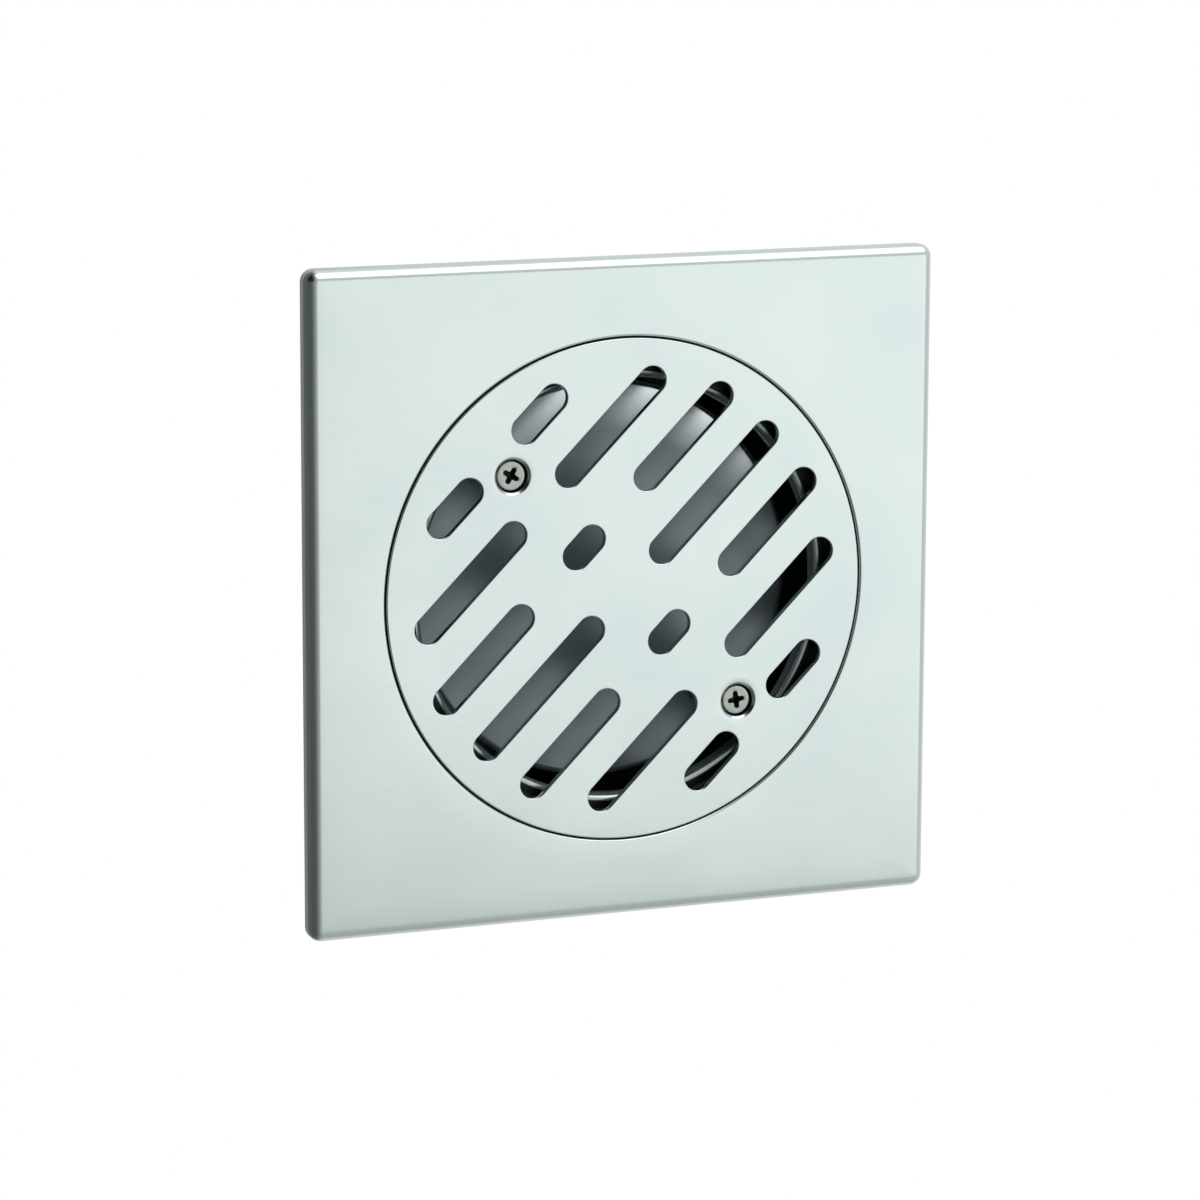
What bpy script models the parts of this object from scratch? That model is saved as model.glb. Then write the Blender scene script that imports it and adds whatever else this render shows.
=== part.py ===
"""Square stainless floor drain with a flush round grate and a bell trap.

The drain lies face up. The origin is the centre of the grate's face, which is
the finished floor level, +Z points up out of the floor, and everything hangs
below it. Lengths are in metres.

From the top down: a pressed cover plate, a lift-out grate with its slots on
the diagonal, two long screws with spacers that carry the bell, and a deep
drawn bowl with the standpipe that the bell covers.
"""
import math

import bmesh
import bpy
from mathutils import Matrix, Vector

# Clearance between two pieces that rest on, or pass through, each other.
REST_GAP = 0.0003

# Cover plate
PLATE_SIDE = 0.150
PLATE_SHEET = 0.0012
PLATE_CORNER = 0.004        # corner radius seen from above
PLATE_FOLD = 0.0026         # outside radius of the fold into the skirt
SKIRT_DEPTH = 0.0048
PLATE_RIM = 0.0172          # from the side of the plate to the round opening
LIP_INSIDE = 0.0003         # inside radius of the lip turned down at the opening

# Grate
GRATE_GAP = 0.0008          # open joint between the grate and the lip
GRATE_SHEET = 0.0015
SLOT_WIDTH = 0.0064
SLOT_ANGLE = math.radians(45)
ROWS_EACH_SIDE = 3
OUTER_ROW_INSET = 0.0132    # from the rim to the middle of the outermost row
CENTRE_BRIDGE = 0.009       # half the solid middle of the centre row
SHORT_SLOT = 0.00255        # half the straight part of the short slots beside it
SHORT_SLOT_LAND = 0.01248   # metal between a short slot and the next one in its row
SCREW_LAND = 0.001          # metal between a screw dimple and the slots beside it
END_INSETS = (0.0097, 0.00865, 0.0094, 0.0093)  # from the rim to the slot ends, by row

# Screws, spacers, washers and nuts (M4)
SCREW_FROM_RIM = 0.0183
SHANK_RADIUS = 0.002
HEAD_RADIUS = 0.0034
HEAD_EDGE = 0.0002
HEAD_SINK = 0.00115         # the head's face below the grate's
SHANK_BEYOND_NUT = 0.0016
SCREW_TURNS = (math.radians(60), math.radians(8))
RECESS_REACH = 0.0021
RECESS_HALF_WIDTH = 0.0005
RECESS_DEPTH = 0.0016
DIMPLE_EDGE = 0.0015        # radius where the face turns into a dimple
DIMPLE_LAND = 0.0001
SPACER_RADIUS = 0.0055
WASHER_RADIUS = 0.0045
WASHER_SHEET = 0.0008
NUT_FLATS = 0.007
NUT_HEIGHT = 0.0032

# Bell
BELL_DROP = 0.0163          # from the grate's face to the bell's
BELL_SHEET = 0.001
BELL_EDGE = 0.0015          # outside radius round the bell's top
BELL_CLEARANCE = 0.003      # between the bell and the seat ring's mouth
BELL_FOOT_GAP = 0.008       # between the bell's rim and the bowl's floor
SEAL_DEPTH = 0.020          # how far the bell dips below the weir

# Seat ring
SEAT_OVERLAP = 0.0045       # how far the grate reaches over its seat
SEAT_SHEET = 0.001
SEAT_STEP = 0.0025          # from the seat down to the ledge inside it
SEAT_STEP_RUN = 0.001       # slope of that step, seen from above
SEAT_STEP_BEND = 0.0012
SEAT_LEDGE = 0.0025         # from the step to the ring's mouth
MOUTH_BEND = 0.0015         # radius from the ledge into the mouth
MOUTH_LIP = 0.0035          # from the ledge to the lower edge of the mouth
FLANGE_INSET = 0.0078       # from the skirt's inside to the flanges

# Bowl and outlet pipe
BOWL_BEYOND_SEAT = 0.0015   # bowl wall outside the edge of the grate's seat
BOWL_SHEET = 0.001
BOWL_RIM_BEND = 0.0015      # radius from the bowl's flange into its wall
BOWL_CORNER = 0.008         # inside radius from the wall into the floor
BOWL_NECK = 0.005
NECK_BEND = 0.002
WEIR_GAP = 0.0087           # between the bell's inside and the standpipe
PIPE_RADIUS = 0.025
PIPE_WALL = 0.0012
SPIGOT_LENGTH = 0.025

# Rubber ring on the spigot
RING_WALL = 0.0022
RING_HEIGHT = 0.012
RING_FIN = 0.0018
RING_FINS = 3
RING_END_INSET = 0.003

# Anchor lugs under the plate's corners
LUG_FROM_CORNER = 0.024
LUG_SHEET = 0.0015
LUG_WIDTH = 0.012
LUG_TAB = 0.014
LUG_LEG = 0.014
LUG_FOOT = 0.010
LUG_BEND = 0.0022

# Faceting
LARGE_STEPS = 84
BOWL_STEPS = 64
PIPE_STEPS = 48
SMALL_STEPS = 24
SLOT_END_STEPS = 8
CORNER_STEPS = 6
BEND_STEPS = 4

# Sizes that follow from the ones above
SHARP = math.radians(35)
hole_radius = PLATE_SIDE / 2 - PLATE_RIM
grate_radius = hole_radius - GRATE_GAP
lip_outside = LIP_INSIDE + PLATE_SHEET
seat_z = -max(lip_outside, GRATE_SHEET) - REST_GAP
bore_radius = SHANK_RADIUS + REST_GAP
screw_offset = grate_radius - SCREW_FROM_RIM
row_pitch = (grate_radius - OUTER_ROW_INSET) / ROWS_EACH_SIDE
head_cone_top = -HEAD_SINK - HEAD_EDGE
dimple_radius = HEAD_RADIUS - head_cone_top + REST_GAP * math.sqrt(2)
dimple_bottom = (bore_radius - dimple_radius
                 - (math.sqrt(2) - 1) * GRATE_SHEET - DIMPLE_LAND)
seat_radius = grate_radius - SEAT_OVERLAP
ledge_radius = seat_radius - SEAT_STEP_RUN
ledge_z = seat_z - SEAT_STEP
mouth_radius = ledge_radius - SEAT_LEDGE
flange_radius = PLATE_SIDE / 2 - PLATE_SHEET - FLANGE_INSET
bowl_radius = seat_radius + BOWL_BEYOND_SEAT
bowl_rim_z = seat_z - SEAT_SHEET - REST_GAP
bell_radius = mouth_radius - BELL_CLEARANCE
bell_under = -BELL_DROP - BELL_SHEET
weir_z = bell_under - WEIR_GAP
bell_foot = weir_z - SEAL_DEPTH
bowl_floor = bell_foot - BELL_FOOT_GAP
pipe_end = bowl_floor - BOWL_SHEET - SPIGOT_LENGTH
washer_top = bell_under - REST_GAP
nut_top = washer_top - WASHER_SHEET - REST_GAP
shank_end = nut_top - NUT_HEIGHT - SHANK_BEYOND_NUT


def steel(name, color, roughness, metallic=1.0):
    """A plain Principled material."""
    material = bpy.data.materials.new(name)
    material.use_nodes = True
    shader = material.node_tree.nodes["Principled BSDF"]
    shader.inputs["Base Color"].default_value = (*color, 1.0)
    shader.inputs["Roughness"].default_value = roughness
    shader.inputs["Metallic"].default_value = metallic
    return material


def add_object(name, bm, material, parent=None, place=None):
    """Makes one named solid from a bmesh, faces outwards, round parts smooth."""
    bmesh.ops.remove_doubles(bm, verts=bm.verts, dist=1e-7)
    bmesh.ops.recalc_face_normals(bm, faces=bm.faces)
    mesh = bpy.data.meshes.new(name)
    bm.to_mesh(mesh)
    bm.free()
    mesh.shade_smooth()
    mesh.set_sharp_from_angle(angle=SHARP)
    mesh.materials.append(material)
    piece = bpy.data.objects.new(name, mesh)
    bpy.context.scene.collection.objects.link(piece)
    piece.parent = parent
    if place is not None:
        piece.matrix_basis = place
    return piece


def rounded(corners, steps=BEND_STEPS):
    """A path through (x, z, radius) corners, each turned in an arc of its radius."""
    points = [Vector(corners[0][:2])]
    for before, corner, after in zip(corners, corners[1:], corners[2:]):
        here = Vector(corner[:2])
        back = (Vector(before[:2]) - here).normalized()
        ahead = (Vector(after[:2]) - here).normalized()
        half = back.angle(ahead) / 2
        middle = here + (back + ahead).normalized() * corner[2] / math.sin(half)
        start = here + back * corner[2] / math.tan(half) - middle
        turn = start.angle_signed(here + ahead * corner[2] / math.tan(half) - middle)
        for step in range(steps + 1):
            points.append(middle + Matrix.Rotation(-turn * step / steps, 2) @ start)
    points.append(Vector(corners[-1][:2]))
    return points


def thickened(path, sheet):
    """The outline of a sheet whose face follows the path.

    Its metal is on the left of the path, or on the right where sheet is negative.
    """
    sides = []
    for first, second in zip(path, path[1:]):
        along = (second - first).normalized()
        sides.append(Vector((-along.y, along.x)))
    back = []
    for index, point in enumerate(path):
        before = sides[max(index - 1, 0)]
        after = sides[min(index, len(sides) - 1)]
        mitre = (before + after).normalized()
        back.append(point + mitre * sheet / mitre.dot(after))
    return path + back[::-1]


def circle(radius, z, steps, centre=(0.0, 0.0)):
    """A closed loop of points round a circle."""
    turns = [math.tau * step / steps for step in range(steps)]
    return [Vector((centre[0] + radius * math.cos(turn),
                    centre[1] + radius * math.sin(turn), z)) for turn in turns]


def rounded_square(half, corner, z):
    """A closed loop of points round a square with rounded corners."""
    points = []
    for quarter in range(4):
        turn = Matrix.Rotation(quarter * math.pi / 2, 3, 'Z')
        for step in range(CORNER_STEPS + 1):
            angle = math.pi / 2 * step / CORNER_STEPS
            arm = Vector((math.cos(angle), math.sin(angle), 0)) * corner
            points.append(turn @ (Vector((half - corner, half - corner, z)) + arm))
    return points


def obround(start, end, across, z):
    """A closed loop round a slot along the slot direction, between two end centres."""
    points = []
    for along, face in ((end, -math.pi / 2), (start, math.pi / 2)):
        for step in range(SLOT_END_STEPS + 1):
            angle = face + math.pi * step / SLOT_END_STEPS
            points.append(Vector((along + SLOT_WIDTH / 2 * math.cos(angle),
                                  across + SLOT_WIDTH / 2 * math.sin(angle), z)))
    turn = Matrix.Rotation(SLOT_ANGLE, 3, 'Z')
    return [turn @ point for point in points]


def add_loop(bm, points):
    """Adds a closed loop of vertices and edges."""
    verts = [bm.verts.new(point) for point in points]
    edges = [bm.edges.new((a, b)) for a, b in zip(verts, verts[1:] + verts[:1])]
    return verts, edges


def skin(bm, loops, closed=False):
    """Joins loops of equal count with faces, in order, and the last to the first if closed."""
    for lower, upper in zip(loops, loops[1:] + (loops[:1] if closed else [])):
        for index, vert in enumerate(lower):
            before = index - 1
            bm.faces.new((lower[before], vert, upper[index], upper[before]))


def pressed(name, chains, material, **placing):
    """A flat sheet with shaped borders.

    Each chain is a list of loops that leads from a border of the upper face
    round the edge of the metal to the same border of the lower face.
    """
    bm = bmesh.new()
    upper, lower = [], []
    for chain in chains:
        loops = [add_loop(bm, points) for points in chain]
        skin(bm, [verts for verts, edges in loops])
        upper += loops[0][1]
        lower += loops[-1][1]
    for border in (upper, lower):
        bmesh.ops.triangle_fill(bm, use_beauty=True, edges=border)
    return add_object(name, bm, material, **placing)


def turned(name, outline, steps, material, **placing):
    """A ring turned from a closed (radius, z) outline about its own Z axis."""
    bm = bmesh.new()
    loops = [add_loop(bm, circle(radius, z, steps))[0] for radius, z in outline]
    skin(bm, loops, closed=True)
    return add_object(name, bm, material, **placing)


def tube(name, radius, bore, top, bottom, steps, material, **placing):
    """A plain round tube."""
    outline = [(bore, top), (radius, top), (radius, bottom), (bore, bottom)]
    return turned(name, outline, steps, material, **placing)


def make_cover_plate(material):
    """Square pressed plate: folded skirt outside, lip turned down at the opening."""
    half = PLATE_SIDE / 2
    fold = thickened(rounded([(2 * PLATE_FOLD, 0), (0, 0, PLATE_FOLD), (0, -SKIRT_DEPTH)]),
                     PLATE_SHEET)
    border = [rounded_square(half - inset, max(PLATE_CORNER - inset, REST_GAP), z)
              for inset, z in fold[1:-1]]
    lip = thickened(rounded([(hole_radius + 2 * lip_outside, 0),
                             (hole_radius, 0, lip_outside),
                             (hole_radius, -lip_outside - DIMPLE_LAND)]), PLATE_SHEET)
    opening = [circle(radius, z, LARGE_STEPS) for radius, z in lip[1:-1]]
    return pressed("cover_plate", [border, opening], material)


def slot_spans(row):
    """Start and end, along the slot direction, of a row's slots on one side."""
    across = row * row_pitch
    half_width = SLOT_WIDTH / 2
    end = math.sqrt((grate_radius - END_INSETS[row]) ** 2 - across ** 2)
    if row == 0:
        return [(CENTRE_BRIDGE + half_width, end)]
    if row == 1:
        return [(SHORT_SLOT + SHORT_SLOT_LAND + SLOT_WIDTH, end)]
    return [(dimple_radius + SCREW_LAND + half_width, end)]


def slots():
    """(start, end, across) of every slot, along and across the slot direction."""
    found = []
    for row in range(-ROWS_EACH_SIDE, ROWS_EACH_SIDE + 1):
        across = row * row_pitch
        for start, end in slot_spans(abs(row)):
            found += [(start, end, across), (-end, -start, across)]
        if abs(row) == 1:
            found.append((-SHORT_SLOT, SHORT_SLOT, across))
    return found


def screw_places():
    """The two screw axes, on the diagonal that crosses the slots."""
    turn = Matrix.Rotation(SLOT_ANGLE, 3, 'Z')
    return [turn @ Vector((0, side * screw_offset, 0)) for side in (1, -1)]


def make_grate(material, lift):
    """Flush round disc with its slots, and a pressed dimple for each screw."""
    chains = [[circle(grate_radius, 0, LARGE_STEPS),
               circle(grate_radius, -GRATE_SHEET, LARGE_STEPS)]]
    for start, end, across in slots():
        chains.append([obround(start, end, across, 0),
                       obround(start, end, across, -GRATE_SHEET)])
    face_radius = dimple_radius + DIMPLE_EDGE
    dimple = thickened(rounded([(face_radius, 0), (dimple_radius, 0, DIMPLE_EDGE),
                                (bore_radius, bore_radius - dimple_radius, REST_GAP),
                                (bore_radius, dimple_bottom)], 3), GRATE_SHEET)
    for place in screw_places():
        chains.append([circle(radius, z, SMALL_STEPS, place) for radius, z in dimple[1:-1]])
    return pressed("grate", chains, material, parent=lift)


def recess_cutter(sections):
    """The cross-shaped driver recess as a tapered solid, from (z, reach, half width) rows."""
    bm = bmesh.new()
    loops = []
    for z, reach, half_width in sections:
        points = []
        for quarter in range(4):
            turn = Matrix.Rotation(quarter * math.pi / 2, 3, 'Z')
            for x, y in ((reach, -half_width), (reach, half_width), (half_width, half_width)):
                points.append(turn @ Vector((x, y, z)))
        loops.append(add_loop(bm, points))
    skin(bm, [verts for verts, edges in loops])
    for verts, edges in (loops[0], loops[-1]):
        bmesh.ops.triangle_fill(bm, edges=edges)
    return bm


def make_screw(index, place, turn, material, lift):
    """Countersunk screw whose shank runs down through spacer, bell, washer and nut."""
    bm = bmesh.new()
    outline = [(HEAD_RADIUS, -HEAD_SINK), (HEAD_RADIUS, head_cone_top),
               (SHANK_RADIUS, head_cone_top - HEAD_RADIUS + SHANK_RADIUS),
               (SHANK_RADIUS, shank_end)]
    loops = [add_loop(bm, circle(radius, z, SMALL_STEPS)) for radius, z in outline]
    skin(bm, [verts for verts, edges in loops])
    for verts, edges in (loops[0], loops[-1]):
        bmesh.ops.triangle_fill(bm, edges=edges)
    stand = Matrix.Translation(place) @ Matrix.Rotation(turn, 4, 'Z')
    screw = add_object(f"grate_screw_{index}", bm, material, parent=lift, place=stand)
    taper = RECESS_HALF_WIDTH / 4
    bottom = -HEAD_SINK - RECESS_DEPTH
    cutter = add_object(f"recess_{index}", recess_cutter([
        (HEAD_SINK, RECESS_REACH, RECESS_HALF_WIDTH),
        (-HEAD_SINK, RECESS_REACH, RECESS_HALF_WIDTH),
        (bottom, RECESS_REACH / 2, RECESS_HALF_WIDTH - taper)]), material, place=stand)
    cutter.parent = lift
    cutter.hide_render = True
    cutter.display_type = 'WIRE'
    cut = screw.modifiers.new("recess", 'BOOLEAN')
    cut.operation = 'DIFFERENCE'
    cut.solver = 'EXACT'
    cut.object = cutter


def make_spacer(index, place, material, lift):
    """Round sleeve between the grate's dimple and the bell."""
    return tube(f"spacer_{index}", SPACER_RADIUS, bore_radius, dimple_bottom - REST_GAP,
                -BELL_DROP + REST_GAP, SMALL_STEPS, material,
                parent=lift, place=Matrix.Translation(place))


def make_washer(index, place, material, lift):
    """Flat washer under the bell."""
    return tube(f"bell_washer_{index}", WASHER_RADIUS, bore_radius, washer_top,
                washer_top - WASHER_SHEET, SMALL_STEPS, material,
                parent=lift, place=Matrix.Translation(place))


def make_nut(index, place, material, lift):
    """Hexagon nut with a round bore."""
    bm = bmesh.new()
    corner = NUT_FLATS / 2 / math.cos(math.pi / 6)
    ends = []
    for z in (nut_top, nut_top - NUT_HEIGHT):
        ends.append((add_loop(bm, circle(corner, z, 6)),
                     add_loop(bm, circle(bore_radius, z, SMALL_STEPS))))
    for ring in (0, 1):
        skin(bm, [end[ring][0] for end in ends])
    for outside, inside in ends:
        bmesh.ops.triangle_fill(bm, edges=outside[1] + inside[1])
    return add_object(f"bell_nut_{index}", bm, material, parent=lift,
                      place=Matrix.Translation(place))


def make_bell(material, lift):
    """Inverted cup that hangs from the grate and dips into the bowl's water."""
    wall = thickened(rounded([(bell_radius - 2 * BELL_EDGE, -BELL_DROP),
                              (bell_radius, -BELL_DROP, BELL_EDGE),
                              (bell_radius, bell_foot)]), -BELL_SHEET)
    side = [circle(radius, z, BOWL_STEPS) for radius, z in wall[1:-1]]
    holes = [[circle(bore_radius, z, SMALL_STEPS, place) for z in (-BELL_DROP, bell_under)]
             for place in screw_places()]
    return pressed("trap_bell", [side] + holes, material, parent=lift)


def make_seat_ring(material):
    """Ring that carries the grate: flange, step down to a ledge, and a turned-down mouth."""
    top = rounded([(flange_radius, seat_z),
                   (seat_radius, seat_z, SEAT_STEP_BEND),
                   (ledge_radius, ledge_z, SEAT_STEP_BEND),
                   (mouth_radius, ledge_z, MOUTH_BEND),
                   (mouth_radius, ledge_z - MOUTH_LIP)])
    return turned("seat_ring", thickened(top, SEAT_SHEET), BOWL_STEPS, material)


def make_bowl(material):
    """Deep drawn bowl: flange under the seat ring, wall, and floor with a neck."""
    neck_radius = PIPE_RADIUS + REST_GAP
    inside = rounded([(flange_radius, bowl_rim_z),
                      (bowl_radius, bowl_rim_z, BOWL_RIM_BEND),
                      (bowl_radius, bowl_floor, BOWL_CORNER),
                      (neck_radius, bowl_floor, NECK_BEND),
                      (neck_radius, bowl_floor - BOWL_NECK)])
    return turned("trap_bowl", thickened(inside, BOWL_SHEET), BOWL_STEPS, material)


def make_outlet_pipe(material):
    """Standpipe inside the bell and spigot under the bowl, in one tube."""
    return tube("outlet_pipe", PIPE_RADIUS, PIPE_RADIUS - PIPE_WALL, weir_z, pipe_end,
                PIPE_STEPS, material)


def make_pipe_seal(material):
    """Rubber ring with fins, pushed on to the spigot."""
    bore = PIPE_RADIUS + REST_GAP
    body = bore + RING_WALL
    bottom = pipe_end + RING_END_INSET
    outline = [(bore, bottom + RING_HEIGHT), (bore, bottom), (body, bottom)]
    pitch = RING_HEIGHT / RING_FINS
    for fin in range(RING_FINS):
        low = bottom + fin * pitch
        outline += [(body, low + pitch / 4), (body + RING_FIN, low + pitch / 2),
                    (body, low + pitch * 3 / 4)]
    outline.append((body, bottom + RING_HEIGHT))
    return turned("pipe_seal_ring", outline, PIPE_STEPS, material)


def make_lug(index, material):
    """Bent strap: a tab spot-welded under a corner, a leg and an outward foot."""
    top = -PLATE_SHEET - REST_GAP
    inner = -LUG_TAB / 2
    path = rounded([(LUG_TAB / 2, top), (inner, top, LUG_BEND + LUG_SHEET),
                    (inner, top - LUG_LEG, LUG_BEND),
                    (inner + LUG_FOOT, top - LUG_LEG)], 3)
    outline = thickened(path, LUG_SHEET)
    bm = bmesh.new()
    loops = [add_loop(bm, [Vector((x, side * LUG_WIDTH / 2, z)) for x, z in outline])
             for side in (-1, 1)]
    skin(bm, [verts for verts, edges in loops])
    for verts, edges in loops:
        bmesh.ops.triangle_fill(bm, edges=edges)
    reach = PLATE_SIDE / math.sqrt(2) - LUG_FROM_CORNER
    turn = Matrix.Rotation(math.pi / 4 + (index - 1) * math.pi / 2, 4, 'Z')
    return add_object(f"anchor_lug_{index}", bm, material,
                      place=turn @ Matrix.Translation((reach, 0, 0)))


def main():
    for leftover in list(bpy.data.objects):
        bpy.data.objects.remove(leftover, do_unlink=True)

    satin = steel("satin stainless sheet", (0.72, 0.75, 0.73), 0.36)
    drawn = steel("drawn stainless", (0.55, 0.57, 0.57), 0.30)
    zinc = steel("stainless screw", (0.62, 0.63, 0.59), 0.32)
    rubber = steel("black rubber", (0.02, 0.02, 0.02), 0.75, metallic=0.0)

    make_cover_plate(satin)
    make_seat_ring(drawn)
    make_bowl(drawn)
    make_outlet_pipe(drawn)
    make_pipe_seal(rubber)
    for index in range(1, 5):
        make_lug(index, drawn)

    lift = bpy.data.objects.new("grate_lift", None)
    bpy.context.scene.collection.objects.link(lift)
    make_grate(satin, lift)
    make_bell(drawn, lift)
    for index, (place, turn) in enumerate(zip(screw_places(), SCREW_TURNS), 1):
        make_screw(index, place, turn, zinc, lift)
        make_spacer(index, place, drawn, lift)
        make_washer(index, place, zinc, lift)
        make_nut(index, place, zinc, lift)


main()
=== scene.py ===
"""The looks of a square stainless floor drain: sheets, screws, trap and studio.

Run inside Blender with the packed frame in place. Every length is in metres.
"""

import math

import bmesh
import bpy
from bpy.props import (FloatProperty, FloatVectorProperty, IntProperty, PointerProperty,
                       StringProperty)
from mathutils import Matrix, Vector


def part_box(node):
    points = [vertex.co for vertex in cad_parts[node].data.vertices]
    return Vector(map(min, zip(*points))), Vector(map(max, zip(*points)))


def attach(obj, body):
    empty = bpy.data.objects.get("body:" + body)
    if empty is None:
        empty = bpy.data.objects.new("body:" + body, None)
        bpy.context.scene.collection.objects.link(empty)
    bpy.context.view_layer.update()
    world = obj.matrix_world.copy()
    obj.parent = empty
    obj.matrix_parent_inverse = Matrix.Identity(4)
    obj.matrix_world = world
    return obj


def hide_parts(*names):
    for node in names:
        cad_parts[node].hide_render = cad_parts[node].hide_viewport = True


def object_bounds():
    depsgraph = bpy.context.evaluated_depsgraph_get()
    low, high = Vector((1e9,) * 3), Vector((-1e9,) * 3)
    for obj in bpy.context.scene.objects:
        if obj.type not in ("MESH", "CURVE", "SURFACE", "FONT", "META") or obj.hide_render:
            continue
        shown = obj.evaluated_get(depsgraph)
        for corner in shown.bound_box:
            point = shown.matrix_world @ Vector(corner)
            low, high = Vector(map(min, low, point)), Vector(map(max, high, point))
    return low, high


bl_info = {
    "name": "Floor drain",
    "version": (1, 0, 0),
    "blender": (4, 5, 0),
    "location": "3D View > Sidebar > Floor drain",
    "description": "Makes the sheets, fasteners, trap and studio of a square floor drain",
    "category": "Add Mesh",
}

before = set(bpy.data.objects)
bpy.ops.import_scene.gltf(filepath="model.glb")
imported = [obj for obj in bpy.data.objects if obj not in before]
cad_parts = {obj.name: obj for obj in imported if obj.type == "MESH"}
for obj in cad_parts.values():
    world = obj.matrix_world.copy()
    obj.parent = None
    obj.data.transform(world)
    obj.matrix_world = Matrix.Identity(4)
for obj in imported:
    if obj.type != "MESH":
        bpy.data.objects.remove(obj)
CAD_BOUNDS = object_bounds()
MM = 0.001
WELD = 1e-7
SCREW_HOLE = 2.3 * MM       # radius of the holes that the screws go through
DRAWN_SHEET = 1.0 * MM      # sheet of the bell, seat ring and bowl
CUT_EDGE = 0.2 * MM         # radius left on cut edges

FIXED = "drain_body"
LIFTED = "lift_out_grate"


# ---------------------------------------------------------------- sizes read from the frame

def low(node):
    """Lowest corner of a node's box."""
    return Vector(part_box(node)[0])


def high(node):
    """Highest corner of a node's box."""
    return Vector(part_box(node)[1])


def middle(node):
    """Centre of a node's box, seen from above."""
    centre = (low(node) + high(node)) / 2
    return Vector((centre.x, centre.y, 0.0))


def half_width(node):
    """Half a node's width along X."""
    return (high(node).x - low(node).x) / 2


# ---------------------------------------------------------------- settings

def length(name, default, description):
    """A size in metres."""
    return FloatProperty(name=name, default=default, description=description,
                         unit='LENGTH', subtype='DISTANCE', precision=5)


def angle(name, default, description):
    """An angle, given in degrees and kept in radians."""
    return FloatProperty(name=name, default=math.radians(default), description=description,
                         unit='ROTATION', subtype='ANGLE')


def hex_text(name, default, description):
    """A colour as sRGB hex."""
    return StringProperty(name=name, default=default, description=description)


class DrainSheet(bpy.types.PropertyGroup):
    """Sizes of the pressed plate and the grate."""
    sheet: length("Plate sheet", 1.2 * MM, "Thickness of the cover plate")
    corner: length("Corner", 2.9 * MM, "Corner radius of the plate seen from above")
    fold: length("Fold", 2.6 * MM, "Outside radius of the fold into the skirt")
    lip: length("Lip", 0.6 * MM, "Radius left on the lip where it turns down at the opening")
    joint: length("Open joint", 0.38 * MM, "Gap between the grate and the lip")
    ease: length("Ease", 5.5 * MM, "Width over which the face eases into a fold or lip")
    sink: length("Sink", 0.03 * MM, "How far the face has sunk where a fold or lip begins")
    grate_sheet: length("Grate sheet", 1.5 * MM, "Thickness of the grate")
    edge: length("Edge", 0.3 * MM, "Radius left on punched edges by deburring")
    slot_width: length("Slot width", 6.4 * MM, "Width of the slots")
    slot_angle: angle("Slot angle", 45.0, "Direction of the slots from the plate's side")
    rows: IntProperty(name="Rows each side", default=3, description="Slot rows each side")
    outer_row: length("Outer row", 13.2 * MM, "From the rim to the outermost row")
    centre_bridge: length("Centre bridge", 9.0 * MM, "Half the metal across the centre row")
    short_slot: length("Short slot", 2.55 * MM, "Half the straight part of a short slot")
    side_start: length("Side slots", 21.43 * MM, "Where the slots beside the short ones start")
    screw_start: length("Slots by a screw", 9.37 * MM, "Where the slots beside a screw start")
    dimple_draw: length("Dimple draw", 0.03 * MM, "How far the face is drawn in at a dimple")
    dimple_slope: angle("Dimple slope", 42.0, "Slope of the dimple's wall")


class DrainFinish(bpy.types.PropertyGroup):
    """Colours of the metals and the rubber, as sRGB hex."""
    satin: hex_text("Satin sheet", "DDE5E4", "Ground stainless of the plate and grate")
    bell: hex_text("Bell", "AEB9BE", "Drawn stainless of the bell, left dull")
    drawn: hex_text("Drawn sheet", "A3ACB0", "Drawn stainless of the bowl, pipe and lugs")
    fastener: hex_text("Fasteners", "C4C8C0", "Plain stainless screws, nuts and washers")
    # The recess colour is painted shade: near black for the deep recess.
    recess: hex_text("Recess", "0B0B0A", "Dirt in the driver recess")
    weld: hex_text("Weld", "8F8C86", "Bare weld metal")
    tint: hex_text("Heat tint", "8A6A46", "Straw tint beside a weld")
    rubber: hex_text("Rubber", "1B1C1E", "Black moulded rubber")
    floor: hex_text("Floor", "C8CAC8", "Studio floor")


class DrainStage(bpy.types.PropertyGroup):
    """Camera and lights."""
    camera: FloatVectorProperty(name="Camera", default=(-0.3967, 0.1990, 0.9815), size=3,
                                description="Where the camera stands", subtype='TRANSLATION')
    aim: FloatVectorProperty(name="Aim", default=(-0.0065, -0.0018, 0.0), size=3,
                             description="What the camera looks at", subtype='TRANSLATION')
    roll: angle("Roll", 0.2, "Turn of the camera about its own axis")
    lens: FloatProperty(name="Lens", default=144.0, description="Focal length in millimetres")
    floor_size: length("Floor size", 6.0, "Side of the studio floor")


# ---------------------------------------------------------------- outlines and meshes

def rounded(corners, steps):
    """A path through (x, z, radius) corners, each turned in an arc of its radius."""
    points = [Vector(corners[0][:2])]
    for before, corner, after in zip(corners, corners[1:], corners[2:]):
        here = Vector(corner[:2])
        back = (Vector(before[:2]) - here).normalized()
        ahead = (Vector(after[:2]) - here).normalized()
        half = back.angle(ahead) / 2
        centre = here + (back + ahead).normalized() * corner[2] / math.sin(half)
        start = here + back * corner[2] / math.tan(half) - centre
        turn = start.angle_signed(here + ahead * corner[2] / math.tan(half) - centre)
        for step in range(steps + 1):
            points.append(centre + Matrix.Rotation(-turn * step / steps, 2) @ start)
    points.append(Vector(corners[-1][:2]))
    return points


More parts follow.
